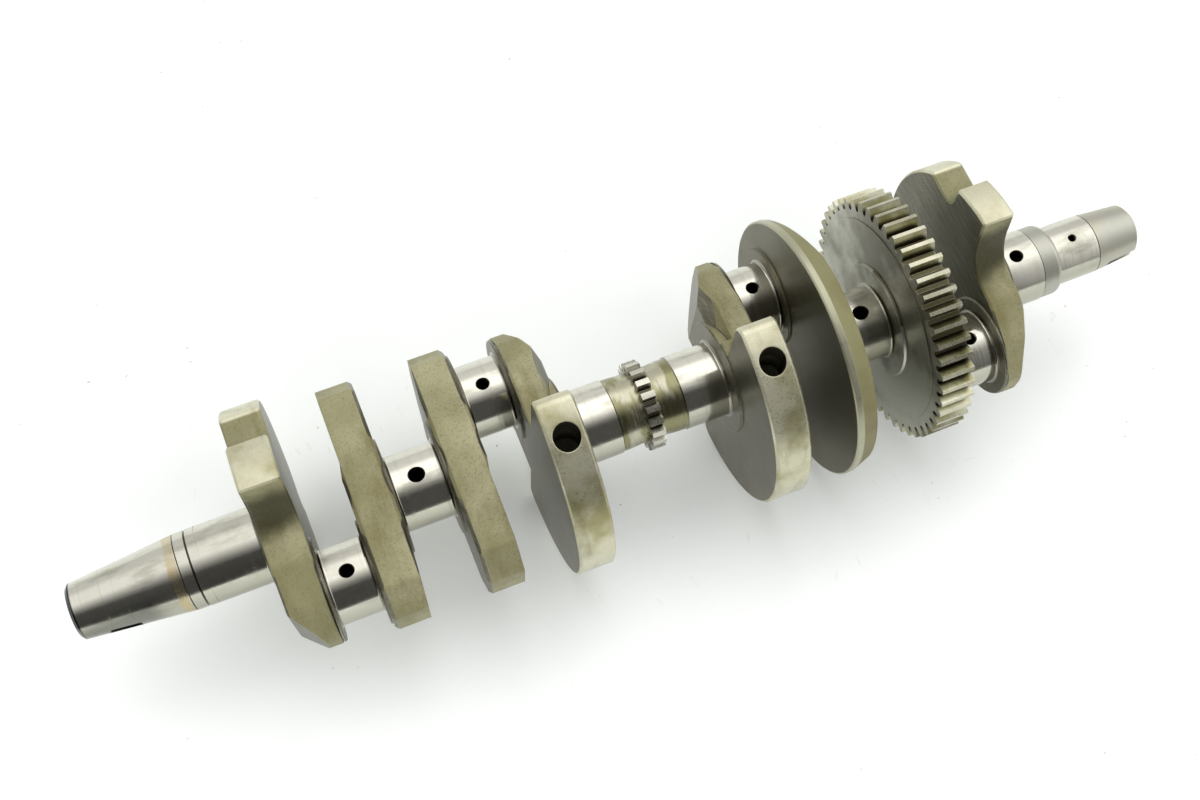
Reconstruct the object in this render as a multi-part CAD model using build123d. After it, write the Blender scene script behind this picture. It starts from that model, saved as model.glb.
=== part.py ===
from build123d import *
import os
from math import acos, cos, pi, radians, sin, sqrt, tan

# Crankshaft of a 600 cc class four-cylinder engine with a flat throw plane.
# X runs along the shaft, from the rotor taper (-X) to the starter-clutch end (+X).
# The origin is on the main axis, in the middle of the timing-chain sprocket.
# +Y is the throw of the two inner crankpins and +Z is up as the shaft lies on a bench.

# ---- driving dimensions, mm ----
STROKE = 49.6
THROW = STROKE / 2
JOURNAL_R = 14.75
PIN_R = 14.4
INNER_PIN_X = 55.6
CYLINDER_PITCH = 69.8
OUTER_PIN_X = INNER_PIN_X + CYLINDER_PITCH
MID_JOURNAL_X = (INNER_PIN_X + OUTER_PIN_X) / 2

# half gaps between the machined web faces, at a crankpin and at an inner journal
PIN_HALF_GAP = 9.2
JOURNAL_HALF_GAP = 10.5
# web faces, counted outwards from the middle of the shaft
CENTRE_WEB_INNER = 32.0
CENTRE_WEB_OUTER = INNER_PIN_X - PIN_HALF_GAP
THIRD_WEB_INNER = INNER_PIN_X + PIN_HALF_GAP
THIRD_WEB_OUTER = MID_JOURNAL_X - JOURNAL_HALF_GAP
SECOND_WEB_INNER = MID_JOURNAL_X + JOURNAL_HALF_GAP
SECOND_WEB_OUTER = OUTER_PIN_X - PIN_HALF_GAP
END_WEB_INNER = OUTER_PIN_X + PIN_HALF_GAP
END_WEB_OUTER = 149.6
WEB_8_OUTER = 147.8

# raised thrust faces round each journal and pin
BOSS = 0.9
JOURNAL_BOSS_R = 22.6
PIN_BOSS_R = 20.2
FILLET_R = 1.1
FINE_CHAMFER = 0.4

# pin end of a web: half outline, measured from the main axis towards the pin
FLANK_HALF = 24.5
TIP_END = 44.8
CENTRE_TONGUE = [(20.0, FLANK_HALF), (36.0, 18.0), (TIP_END, 6.5)]
END_TONGUE = [(17.0, FLANK_HALF), (33.0, 18.0), (TIP_END, 6.0)]
OUTLINE_R = 9.0

# counterweights
CENTRE_WEIGHT_R = 51.8
CENTRE_SHOULDER_Y = -0.6
END_WEIGHT_R = 50.6
SHOULDER_R = 4.5
END_SHOULDER_Y = -3.6
END_NECK = [(-2.3, 43.0), (-0.1, 33.6), (4.0, 27.4)]
END_NECK_TOP = 13.0
# how many mm the neck drops for each mm along it, where it leaves the rim
END_NECK_DROP = 4.0
# foot radius of the drafted hub under the journal boss of an end web
END_HUB_R = 23.8
NOTCH_Y = 22.0
NOTCH_Z = 34.0
NOTCH_R = 4.0

# straight slab webs beside the left inner journal
SLAB_HALF = 23.5
SLAB_FLAT_END = 10.0
SLAB_CORNER = (38.0, 20.0)
SLAB_END = 46.5
SLAB_END_HALF = 8.0
SLAB_OUTLINE_R = 3.0
SLAB_EDGE = 1.3

# bevels on the journal side of the pin ends
CENTRE_BEVEL_START = 25.0
CENTRE_BEVEL_DEPTH = 9.0
WEB_1_BEVEL_START = 33.5
WEB_1_BEVEL_DEPTH = 9.3
WEB_8_BEVEL_START = 21.5
WEB_8_BEVEL_DEPTH = 7.3
SLAB_BEVEL_START = 25.0
SLAB_BEVEL_DEPTH = 1.7
SLAB_STEP_START = 5.0
SLAB_STEP_END = 11.0
SLAB_STEP_DEPTH = 1.2
SIDE_BEVEL_FOOT = 4.5
SIDE_BEVEL_START = 15.5
SIDE_BEVEL_DEPTH = 4.5

# blind lightening holes in the two centre counterweights
HOLE_R = 5.0
HOLE_DEPTH = 15.0
HOLE_Y = 17.3
DRILL_POINT = radians(59)

# flywheel-like web 6
DISC_R = 52.3
DISC_BAND = 2.8
DISC_EDGE = 0.6
DISC_RIM_X = 9.2
DISC_RIM_R = 50.0
DISC_HUB_R = 33.0
DISC_BEVEL_START = -18.0
DISC_BEVEL_DEPTH = 13.0

# primary drive gear cut on web 7
GEAR_MODULE = 2.0
GEAR_TEETH = 48
GEAR_WIDTH = 13.4
PRESSURE_ANGLE = radians(20)
ROOT_CLEARANCE = 1.25
GEAR_TOOTH_ANGLE = 91.5
GEAR_PAD_R = 42.0
GEAR_FACE_STEP = 0.3
GEAR_BOSS_R = 23.6

# timing-chain sprocket and the plain shaft each side of it
SPROCKET_TEETH = 20
SPROCKET_TIP_R = 17.7
SPROCKET_ROOT_R = 14.5
SPROCKET_TIP_HALF = 1.2
SPROCKET_ROOT_HALF = 1.7
SPROCKET_TOOTH_ANGLE = 98.9
SPROCKET_HALF = 2.7
SHAFT_R = 14.3
RELIEF_R = 13.95
RELIEF_END = 5.5
RELIEF_RISE_END = 10.0
SHAFT_END = 13.0

# rotor end, -X
LAND_END = -175.6
TAPER_LARGE_X = -180.2
TAPER_SMALL_X = -220.6
LAND_R = 14.6
TAPER_LARGE_R = 14.5
TAPER_SMALL_R = 10.55
ROTOR_KEY_X = -205.9
ROTOR_KEY_LENGTH = 12.0
ROTOR_BOLT_R = 5.1
ROTOR_BOLT_DEPTH = 34.0
TAPER_CHAMFER = 1.0

# starter-clutch end, +X
COLLAR_START = 168.5
COLLAR_END = 176.8
COLLAR_R = 14.5
STUB_R = 12.2
STUB_END = 195.3
TAIL_LARGE_R = 12.1
TAIL_SMALL_R = 10.5
TAIL_END = 214.6
TAIL_KEY_START = 200.4
TAIL_BOLT_R = 4.25
TAIL_BOLT_DEPTH = 15.0
STUB_OIL_X = 185.4

# keyways, both cut towards the same side
KEY_WIDTH = 5.0
KEY_DEPTH = 2.6
KEY_CUTTER_R = 7.5
KEY_ANGLE = -175.0

# grooves turned in the land beside the taper
GROOVE_X = -172.0
GROOVE_WIDTH = 0.5
GROOVE_DEPTH = 0.3

# oilways
GALLERY_R = 2.0
PIN_OIL_R = 2.45
INNER_PIN_OIL_R = 2.25
JOURNAL_OIL_R = 2.85
OUTER_OIL_R = 2.45
STUB_OIL_R = 1.35
OIL_CHAMFER = 0.45
OUTER_OIL_X = 159.1

END_CHAMFER = 1.4
EDGE = 0.8
POINT_R = 0.01
# how far a cutting shape stands clear of what it cuts
CLEAR = 4.0


# ---- helpers ----
def on_shaft(sketch, x):
    """Place a sketch drawn in (Y, Z) on the plane at x, facing +X."""
    return Plane(origin=(x, 0, 0), x_dir=(0, 1, 0), z_dir=(1, 0, 0)) * sketch


def slice_between(sketch, x0, x1):
    """Extrude a (Y, Z) sketch from x0 to x1, in either order."""
    return extrude(on_shaft(sketch, min(x0, x1)), abs(x1 - x0), dir=(1, 0, 0))


def turned(points, y=0.0):
    """Turn a profile of (x, radius) points about the line along X at y."""
    outline = [(points[0][0], 0.0)] + points + [(points[-1][0], 0.0)]
    face = make_face(Polyline(*outline, close=True))
    return Pos(0, y, 0) * revolve(face, Axis.X)


def rod(start, end, radius):
    """A round bar between two points."""
    span = Vector(*end) - Vector(*start)
    plane = Plane(origin=start, z_dir=span.normalized())
    return extrude(plane * Circle(radius), span.length)


def drilling(x_mouth, into, depth, radius):
    """A hole bored along the shaft from its end, with a drilled point at the bottom."""
    point = radius / tan(DRILL_POINT)
    bottom = x_mouth + into * depth
    return turned([(x_mouth, radius), (bottom, radius), (bottom + into * point, POINT_R)])


def prism_along_z(points):
    """A wedge with its section drawn in (X, Y), long enough to cut a whole web."""
    return extrude(make_face(Polyline(*points, close=True)), DISC_R, both=True)


def for_outer_pin(solid):
    """Turn a solid half a turn about the main axis, so that it serves an outer crankpin."""
    return Rot(180, 0, 0) * solid


def on_left(solid):
    """The same solid on the rotor side of the shaft."""
    return mirror(solid, Plane.YZ)


# ---- oilways ----
def oilways():
    """Slanted drillings from the main journals to the crankpins, and the one along the stub."""
    ways = [rod((-OUTER_PIN_X, -THROW, 0), (-INNER_PIN_X, THROW, 0), GALLERY_R)]
    ways.append(rod((MID_JOURNAL_X, 0, 0), (INNER_PIN_X, THROW, 0), GALLERY_R))
    ways.append(rod((OUTER_OIL_X, 0, 0), (OUTER_PIN_X, -THROW, 0), GALLERY_R))
    ways.append(rod((OUTER_OIL_X, 0, 0), (STUB_OIL_X, 0, 0), GALLERY_R))
    return ways


def drilled(solid, ways):
    """Cut every oilway out of a solid."""
    for way in ways:
        solid = solid - way
    return solid


def oil_hole(x, y, surface_r, hole_r):
    """A drilling from the top of a journal down to its middle, with a broken edge."""
    bore = rod((x, y, 0), (x, y, surface_r + 1), hole_r)
    rise = 3 * OIL_CHAMFER
    mouth = Cone(hole_r, hole_r + rise, rise, align=(Align.CENTER, Align.CENTER, Align.MIN))
    return bore + Pos(x, y, surface_r - OIL_CHAMFER) * mouth


# ---- journals and pins ----
def journal(x0, x1, radius, y=0.0):
    """A ground bearing surface whose ends flare in small fillets where they meet the webs."""
    flare = radius + FILLET_R
    with BuildSketch() as profile:
        with BuildLine():
            Line((x0, 0), (x0, flare))
            RadiusArc((x0, flare), (x0 + FILLET_R, radius), -FILLET_R)
            Line((x0 + FILLET_R, radius), (x1 - FILLET_R, radius))
            RadiusArc((x1 - FILLET_R, radius), (x1, flare), -FILLET_R)
            Line((x1, flare), (x1, 0))
            Line((x1, 0), (x0, 0))
        make_face()
    return Pos(0, y, 0) * revolve(profile.sketch, Axis.X)


def stepped_journal(x_step, x_web):
    """A journal with a fine chamfer at its free end and a fillet at its web, both at larger x."""
    flare = JOURNAL_R + FILLET_R
    shoulder = JOURNAL_R - FINE_CHAMFER
    with BuildSketch() as profile:
        with BuildLine():
            Line((x_step, 0), (x_step, shoulder))
            Line((x_step, shoulder), (x_step + FINE_CHAMFER, JOURNAL_R))
            Line((x_step + FINE_CHAMFER, JOURNAL_R), (x_web - FILLET_R, JOURNAL_R))
            RadiusArc((x_web - FILLET_R, JOURNAL_R), (x_web, flare), -FILLET_R)
            Line((x_web, flare), (x_web, 0))
            Line((x_web, 0), (x_step, 0))
        make_face()
    return revolve(profile.sketch, Axis.X)


def crankpin(x, y, hole_r):
    """One connecting-rod journal with its oil hole."""
    half = PIN_HALF_GAP - BOSS
    return journal(x - half, x + half, PIN_R, y) - oil_hole(x, y, PIN_R, hole_r)


def inner_journal(side):
    """Main journal 2 or 5, between two webs."""
    x = side * MID_JOURNAL_X
    half = JOURNAL_HALF_GAP - BOSS
    return journal(x - half, x + half, JOURNAL_R) - oil_hole(x, 0, JOURNAL_R, JOURNAL_OIL_R)


def rotor_journal():
    """Main journal 1, with the fine groove near the rotor."""
    body = stepped_journal(LAND_END, -END_WEB_OUTER - BOSS)
    groove = turned([(GROOVE_X, LAND_R + 1), (GROOVE_X + GROOVE_WIDTH, LAND_R + 1)])
    core = turned([(GROOVE_X, JOURNAL_R - GROOVE_DEPTH), (GROOVE_X + GROOVE_WIDTH, JOURNAL_R - GROOVE_DEPTH)])
    return body - (groove - core)


def starter_journal():
    """Main journal 6, on the starter-clutch side."""
    body = on_left(stepped_journal(-COLLAR_START, -END_WEB_OUTER - BOSS))
    return body - oil_hole(OUTER_OIL_X, 0, JOURNAL_R, OUTER_OIL_R)


# ---- web outlines, drawn with +Y towards the pin ----
def tongue_outline(side):
    """The tongue that holds the crankpin, from the corners on one side of it."""
    half = [(0, FLANK_HALF)] + side
    outline = make_face(Polyline(*half, *[(y, -z) for y, z in reversed(half)], close=True))
    return fillet([v for v in outline.vertices() if v.X > 1], OUTLINE_R)


def half_disc(radius, shoulder_y):
    """The half-round counterweight below the line at shoulder_y."""
    lower = Pos(shoulder_y - radius, 0) * Rectangle(2 * radius, 2 * radius + 2)
    return Circle(radius) & lower


def centre_web_outline():
    """Webs 4 and 5: a half disc with rounded corners and the tongue above it."""
    weight = half_disc(CENTRE_WEIGHT_R, CENTRE_SHOULDER_Y)
    weight = fillet([v for v in weight.vertices() if v.X > CENTRE_SHOULDER_Y - 1], SHOULDER_R)
    return weight + tongue_outline(CENTRE_TONGUE) + Circle(FLANK_HALF)


def end_neck():
    """One side of the neck of an end web: a smooth hollow from the rim to the tongue."""
    rim = (END_SHOULDER_Y, sqrt(END_WEIGHT_R**2 - END_SHOULDER_Y**2))
    top = (END_NECK_TOP, FLANK_HALF)
    with BuildSketch() as neck:
        with BuildLine():
            Line((END_SHOULDER_Y, 0), rim)
            Spline(rim, *END_NECK, top, tangents=[(1, -END_NECK_DROP), (1, 0)])
            Line(top, (END_NECK_TOP, 0))
            Line((END_NECK_TOP, 0), (END_SHOULDER_Y, 0))
        make_face()
    return neck.sketch


def end_web_outline():
    """Webs 1 and 8: the neck curves in from the rim, and each far corner has a step."""
    neck = end_neck()
    reach = DISC_R
    step = Pos(-NOTCH_Y - reach / 2, NOTCH_Z + reach / 2) * RectangleRounded(reach, reach, NOTCH_R)
    outline = half_disc(END_WEIGHT_R, END_SHOULDER_Y) + neck + mirror(neck, Plane.XZ)
    outline = outline + tongue_outline(END_TONGUE)
    return outline - step - mirror(step, Plane.XZ)


def slab_outline():
    """The long eight-sided outline of webs 2 and 3."""
    quarter = [(SLAB_FLAT_END, SLAB_HALF), SLAB_CORNER, (SLAB_END, SLAB_END_HALF)]
    upper = [(-y, z) for y, z in reversed(quarter)] + quarter
    outline = make_face(Polyline(*upper, *[(y, -z) for y, z in reversed(upper)], close=True))
    return fillet(outline.vertices(), SLAB_OUTLINE_R)


# ---- webs, made for an inner pin and turned where needed ----
def with_bosses(web, x_pin_face, x_journal_face, journal_boss_r=JOURNAL_BOSS_R):
    """Add the raised thrust faces, one round the pin and one round the journal."""
    out = 1 if x_pin_face > x_journal_face else -1
    pin_top = PIN_BOSS_R - FINE_CHAMFER
    journal_top = journal_boss_r - FINE_CHAMFER
    web = web + turned([(x_pin_face, PIN_BOSS_R), (x_pin_face + out * BOSS, pin_top)], THROW)
    return web + turned([(x_journal_face, journal_boss_r), (x_journal_face - out * BOSS, journal_top)])


def end_bevel(x_journal_face, into, start, depth, tip):
    """The wedge that slopes the journal side of a tongue back towards its tip."""
    outside = x_journal_face - into * CLEAR
    far = tip + CLEAR
    deep = depth * (far - start) / (tip - start)
    points = [(x_journal_face, start), (x_journal_face + into * deep, far), (outside, far), (outside, start)]
    return prism_along_z(points)


def side_bevels(x_journal_face, into):
    """The two wedges that slope the flanks of a tongue, outside the ring round the journal."""
    outside = x_journal_face - into * CLEAR
    far = FLANK_HALF + CLEAR
    deep = SIDE_BEVEL_DEPTH * (far - SIDE_BEVEL_START) / (FLANK_HALF - SIDE_BEVEL_START)
    points = [(x_journal_face, SIDE_BEVEL_START), (x_journal_face + into * deep, far)]
    points += [(outside, far), (outside, SIDE_BEVEL_START)]
    section = Plane.XZ * make_face(Polyline(*points, close=True))
    upper = Pos(0, SIDE_BEVEL_FOOT, 0) * extrude(section, -DISC_R)
    ring = slice_between(Circle(JOURNAL_BOSS_R), x_journal_face - CLEAR * 3, x_journal_face + CLEAR * 3)
    return upper + mirror(upper, Plane.XY) - ring


def edged(solid, size):
    """Break the outline edges of a web that has just been extruded."""
    rims = [e for e in solid.edges() if e.length > CLEAR and abs(e.tangent_at(0.5).X) < 0.01]
    return chamfer(rims, size)


def blind_hole(x, y):
    """A drilled hole with a pointed bottom, sunk into the top of a counterweight rim."""
    surface = sqrt(CENTRE_WEIGHT_R**2 - y**2)
    point = HOLE_R / tan(DRILL_POINT)
    bottom = surface - HOLE_DEPTH
    bore = rod((x, y, bottom), (x, y, surface + HOLE_R), HOLE_R)
    tip = Cone(POINT_R, HOLE_R, point, align=(Align.CENTER, Align.CENTER, Align.MAX))
    return bore + Pos(x, y, bottom) * tip


def centre_web():
    """Web 5: tongue, half-round counterweight and one blind hole."""
    x0 = CENTRE_WEB_INNER
    x1 = CENTRE_WEB_OUTER
    web = edged(slice_between(centre_web_outline(), x0, x1), EDGE)
    web = web - end_bevel(x0, 1, CENTRE_BEVEL_START, CENTRE_BEVEL_DEPTH, TIP_END)
    web = web - side_bevels(x0, 1)
    web = with_bosses(web, x1, x0)
    return web - blind_hole((x0 + x1) / 2, -HOLE_Y)


def end_web(x_outer, bevel_start, bevel_depth):
    """An end web on the starter side, before it is turned to its outer pin."""
    x0 = END_WEB_INNER
    web = edged(slice_between(end_web_outline(), x0, x_outer), EDGE)
    web = web - end_bevel(x_outer, -1, bevel_start, bevel_depth, TIP_END)
    web = web + turned([((x0 + x_outer) / 2, END_HUB_R), (END_WEB_OUTER, JOURNAL_BOSS_R)])
    return with_bosses(web, x0, END_WEB_OUTER)


def far_step(x_pin_face, into):
    """The shallow step that thins the far half of a slab on its pin side."""
    floor = x_pin_face + into * SLAB_STEP_DEPTH
    outside = x_pin_face - into * CLEAR
    far = -SLAB_END - CLEAR
    points = [(x_pin_face, -SLAB_STEP_START), (floor, -SLAB_STEP_END), (floor, far)]
    return prism_along_z(points + [(outside, far), (outside, -SLAB_STEP_START)])


def slab_web(x_pin_face, x_journal_face):
    """Web 2 or 3: a slab that thins on its journal side at the pin and on its pin side beyond."""
    into = 1 if x_pin_face > x_journal_face else -1
    web = edged(slice_between(slab_outline(), x_pin_face, x_journal_face), SLAB_EDGE)
    web = web - end_bevel(x_journal_face, into, SLAB_BEVEL_START, SLAB_BEVEL_DEPTH, SLAB_END)
    web = web - far_step(x_pin_face, -into)
    return with_bosses(web, x_pin_face, x_journal_face)


def round_web():
    """Web 6: a disc with a ground band on its rim, and a back that slopes away towards its pin."""
    x0 = THIRD_WEB_INNER
    x1 = THIRD_WEB_OUTER
    profile = [(x0, DISC_R - DISC_EDGE), (x0 + DISC_EDGE, DISC_R), (x0 + DISC_BAND, DISC_R)]
    profile += [(x0 + DISC_RIM_X, DISC_RIM_R), (x1, DISC_HUB_R)]
    web = turned(profile) - end_bevel(x1, -1, DISC_BEVEL_START, DISC_BEVEL_DEPTH, DISC_R)
    web = web + turned([(x0, JOURNAL_BOSS_R), (x1, JOURNAL_BOSS_R)])
    return with_bosses(web, x0, x1)


# ---- gear and sprocket ----
def involute(angle):
    """The involute function of a pressure angle."""
    return tan(angle) - angle


def flank_point(radius, tooth_centre, side):
    """A point of an involute flank at a radius, on one side of a tooth centre."""
    pitch_r = GEAR_MODULE * GEAR_TEETH / 2
    here = acos(pitch_r * cos(PRESSURE_ANGLE) / radius)
    half = pi / (2 * GEAR_TEETH) + involute(PRESSURE_ANGLE) - involute(here)
    turn = tooth_centre + side * half
    return (radius * cos(turn), radius * sin(turn))


def gear_outline():
    """Involute teeth joined by root and tip arcs."""
    pitch_r = GEAR_MODULE * GEAR_TEETH / 2
    root = pitch_r - ROOT_CLEARANCE * GEAR_MODULE
    tip = pitch_r + GEAR_MODULE
    step = 2 * pi / GEAR_TEETH
    radii = [root + (tip - root) * k / 3 for k in range(4)]
    with BuildSketch() as outline:
        with BuildLine():
            for tooth in range(GEAR_TEETH):
                centre = radians(GEAR_TOOTH_ANGLE) + tooth * step
                rise = [flank_point(r, centre, -1) for r in radii]
                fall = [flank_point(r, centre, 1) for r in reversed(radii)]
                valley = centre + step / 2
                following = flank_point(root, centre + step, -1)
                Spline(*rise)
                ThreePointArc(rise[-1], (tip * cos(centre), tip * sin(centre)), fall[0])
                Spline(*fall)
                ThreePointArc(fall[-1], (root * cos(valley), root * sin(valley)), following)
        make_face()
    return outline.sketch


def gear_web():
    """Web 7: the primary drive gear, with a low pad on each face."""
    x0 = SECOND_WEB_INNER
    x1 = SECOND_WEB_OUTER
    teeth_start = x0 + GEAR_FACE_STEP
    teeth_end = teeth_start + GEAR_WIDTH
    gear = slice_between(gear_outline(), teeth_start, teeth_end)
    gear = gear + slice_between(Circle(GEAR_PAD_R), x0, x1)
    return with_bosses(gear, x1, x0, GEAR_BOSS_R)


def sprocket():
    """The timing sprocket: straight-sided teeth with flat crests."""
    deep = SPROCKET_ROOT_R - CLEAR
    side = [(deep, SPROCKET_ROOT_HALF), (SPROCKET_ROOT_R, SPROCKET_ROOT_HALF)]
    side += [(SPROCKET_TIP_R, SPROCKET_TIP_HALF), (SPROCKET_TIP_R + 1, SPROCKET_TIP_HALF)]
    tooth = make_face(Polyline(*side, *[(r, -half) for r, half in reversed(side)], close=True))
    outline = Circle(SPROCKET_ROOT_R)
    for number in range(SPROCKET_TEETH):
        outline = outline + Rot(0, 0, SPROCKET_TOOTH_ANGLE + number * 360 / SPROCKET_TEETH) * tooth
    return slice_between(outline & Circle(SPROCKET_TIP_R), -SPROCKET_HALF, SPROCKET_HALF)


def chain_shaft():
    """The plain shaft on the right of the sprocket, relieved next to it."""
    profile = [(SPROCKET_HALF, RELIEF_R), (RELIEF_END, RELIEF_R)]
    profile += [(RELIEF_RISE_END, SHAFT_R), (SHAFT_END, SHAFT_R)]
    return turned(profile)


# ---- shaft ends ----
def towards_key(solid):
    """Turn a solid that points along +Y to the side of the keyways."""
    return Rot(KEY_ANGLE, 0, 0) * solid


def rotor_taper():
    """The taper for the generator rotor, with a half-round keyseat and a bolt hole."""
    slope = (TAPER_LARGE_R - TAPER_SMALL_R) / (TAPER_LARGE_X - TAPER_SMALL_X)
    x_edge = TAPER_SMALL_X + TAPER_CHAMFER
    profile = [(TAPER_SMALL_X, TAPER_SMALL_R - TAPER_CHAMFER)]
    profile += [(x_edge, TAPER_SMALL_R + slope * TAPER_CHAMFER), (TAPER_LARGE_X, TAPER_LARGE_R)]
    surface = TAPER_SMALL_R + slope * (ROTOR_KEY_X - TAPER_SMALL_X)
    lift = sqrt(KEY_CUTTER_R**2 - (ROTOR_KEY_LENGTH / 2) ** 2)
    cutter = extrude(Circle(KEY_CUTTER_R), KEY_WIDTH / 2, both=True)
    seat = towards_key(Pos(ROTOR_KEY_X, surface + lift, 0) * cutter)
    return turned(profile) - seat - drilling(TAPER_SMALL_X, 1, ROTOR_BOLT_DEPTH, ROTOR_BOLT_R)


def taper_land():
    """The short cylinder between the taper and main journal 1."""
    profile = [(TAPER_LARGE_X, LAND_R - FINE_CHAMFER), (TAPER_LARGE_X + FINE_CHAMFER, LAND_R)]
    profile += [(LAND_END - FINE_CHAMFER, LAND_R), (LAND_END, LAND_R - FINE_CHAMFER)]
    return turned(profile)


def end_collar():
    """The collar that rounds down to the starter stub."""
    drop = COLLAR_R - STUB_R
    with BuildSketch() as profile:
        with BuildLine():
            Line((COLLAR_START, 0), (COLLAR_START, COLLAR_R))
            Line((COLLAR_START, COLLAR_R), (COLLAR_END - drop, COLLAR_R))
            RadiusArc((COLLAR_END - drop, COLLAR_R), (COLLAR_END, STUB_R), drop)
            Line((COLLAR_END, STUB_R), (COLLAR_END, 0))
            Line((COLLAR_END, 0), (COLLAR_START, 0))
        make_face()
    return revolve(profile.sketch, Axis.X)


def starter_stub():
    """The ground stub for the starter clutch, with a small oil hole."""
    profile = [(COLLAR_END, STUB_R), (STUB_END - FINE_CHAMFER, STUB_R), (STUB_END, STUB_R - FINE_CHAMFER)]
    return turned(profile) - oil_hole(STUB_OIL_X, 0, STUB_R, STUB_OIL_R)


def tail():
    """The tapered end with a keyway open to its face and a bolt hole."""
    slope = (TAIL_LARGE_R - TAIL_SMALL_R) / (TAIL_END - STUB_END)
    x_edge = TAIL_END - END_CHAMFER
    profile = [(STUB_END, TAIL_LARGE_R), (x_edge, TAIL_SMALL_R + slope * END_CHAMFER)]
    profile.append((TAIL_END, TAIL_SMALL_R - END_CHAMFER))
    length = TAIL_END - TAIL_KEY_START + CLEAR
    floor = (TAIL_LARGE_R + TAIL_SMALL_R) / 2 - KEY_DEPTH
    slot = Box(length, STUB_R, KEY_WIDTH, align=(Align.MIN, Align.MIN, Align.CENTER))
    slot = towards_key(Pos(TAIL_KEY_START, floor, 0) * slot)
    return turned(profile) - slot - drilling(TAIL_END, -1, TAIL_BOLT_DEPTH, TAIL_BOLT_R)


# ---- all the pieces ----
def pieces():
    """Every named piece of the crankshaft in its place."""
    parts = {}
    parts["rotor_taper"] = rotor_taper()
    parts["taper_land"] = taper_land()
    parts["main_journal_1"] = rotor_journal()
    parts["main_journal_2"] = inner_journal(-1)
    parts["main_journal_3"] = on_left(stepped_journal(SHAFT_END, CENTRE_WEB_INNER - BOSS))
    parts["main_journal_4"] = stepped_journal(SHAFT_END, CENTRE_WEB_INNER - BOSS)
    parts["main_journal_5"] = inner_journal(1)
    parts["main_journal_6"] = starter_journal()
    web_1 = end_web(END_WEB_OUTER, WEB_1_BEVEL_START, WEB_1_BEVEL_DEPTH)
    parts["web_1"] = for_outer_pin(on_left(web_1))
    parts["web_2"] = for_outer_pin(slab_web(-SECOND_WEB_OUTER, -SECOND_WEB_INNER))
    parts["web_3"] = slab_web(-THIRD_WEB_INNER, -THIRD_WEB_OUTER)
    parts["web_4"] = on_left(centre_web())
    parts["web_5"] = centre_web()
    parts["web_6"] = round_web()
    parts["primary_drive_gear"] = for_outer_pin(gear_web())
    parts["web_8"] = for_outer_pin(end_web(WEB_8_OUTER, WEB_8_BEVEL_START, WEB_8_BEVEL_DEPTH))
    parts["crankpin_1"] = crankpin(-OUTER_PIN_X, -THROW, PIN_OIL_R)
    parts["crankpin_2"] = crankpin(-INNER_PIN_X, THROW, INNER_PIN_OIL_R)
    parts["crankpin_3"] = crankpin(INNER_PIN_X, THROW, INNER_PIN_OIL_R)
    parts["crankpin_4"] = crankpin(OUTER_PIN_X, -THROW, PIN_OIL_R)
    parts["chain_shaft_left"] = on_left(chain_shaft())
    parts["timing_sprocket"] = sprocket()
    parts["chain_shaft_right"] = chain_shaft()
    parts["end_collar"] = end_collar()
    parts["starter_stub"] = starter_stub()
    parts["tail"] = tail()
    return parts


os.makedirs("parts", exist_ok=True)
ways = oilways()
for name, solid in pieces().items():
    export_step(drilled(solid, ways), "parts/" + name + ".step")
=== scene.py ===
import math
from collections import namedtuple

import bpy
from mathutils import Matrix, Vector


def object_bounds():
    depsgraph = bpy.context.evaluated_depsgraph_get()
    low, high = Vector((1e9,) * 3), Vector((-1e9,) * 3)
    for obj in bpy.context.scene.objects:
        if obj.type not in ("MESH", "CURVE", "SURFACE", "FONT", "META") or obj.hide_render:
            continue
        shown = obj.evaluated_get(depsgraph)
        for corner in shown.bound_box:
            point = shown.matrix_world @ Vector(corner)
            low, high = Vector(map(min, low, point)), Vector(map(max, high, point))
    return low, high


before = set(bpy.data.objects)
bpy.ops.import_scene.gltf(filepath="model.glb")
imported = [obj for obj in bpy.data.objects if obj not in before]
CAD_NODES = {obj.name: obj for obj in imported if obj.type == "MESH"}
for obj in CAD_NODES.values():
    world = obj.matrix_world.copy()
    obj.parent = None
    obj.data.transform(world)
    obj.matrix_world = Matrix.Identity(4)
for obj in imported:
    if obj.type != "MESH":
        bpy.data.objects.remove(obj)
CAD_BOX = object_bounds()

# A noise pattern: features per metre (1 where the place is scaled first), then detail and roughness.
Grain = namedtuple("Grain", "scale detail roughness", defaults=(3.0, 0.55))
# The same, with one scale round the shaft and another along it.
Rings = namedtuple("Rings", "around along detail roughness", defaults=(3.0, 0.55))
# The two values between which an effect changes, and its full strength.
Patch = namedtuple("Patch", "low high strength", defaults=(1.0,))
# How deep a bump pattern is, and how strongly it shows.
Relief = namedtuple("Relief", "depth strength")
# A drilling that goes down from the top.
Hole = namedtuple("Hole", "x y radius")
# Middle of the hollow of an end web, and how far from it the painted shade starts to fade and ends.
Hollow = namedtuple("Hollow", "y z full end")

# ---- sizes and places of the shaft that the looks follow, in metres ----
MM = 0.001
THROW = 24.8 * MM
OUTER_PIN_X = 125.4 * MM
INNER_PIN_X = 55.6 * MM
MIDDLE_JOURNAL_X = 90.5 * MM
END_JOURNAL_HOLE_X = 159.1 * MM
STUB_HOLE_X = 185.4 * MM
BALANCE_X = 39.2 * MM
BALANCE_Y = -17.3 * MM

OUTER_PIN_OIL_R = 2.45 * MM
INNER_PIN_OIL_R = 2.25 * MM
JOURNAL_OIL_R = 2.85 * MM
END_JOURNAL_OIL_R = 2.45 * MM
STUB_OIL_R = 1.35 * MM
BALANCE_R = 5.0 * MM

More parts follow.
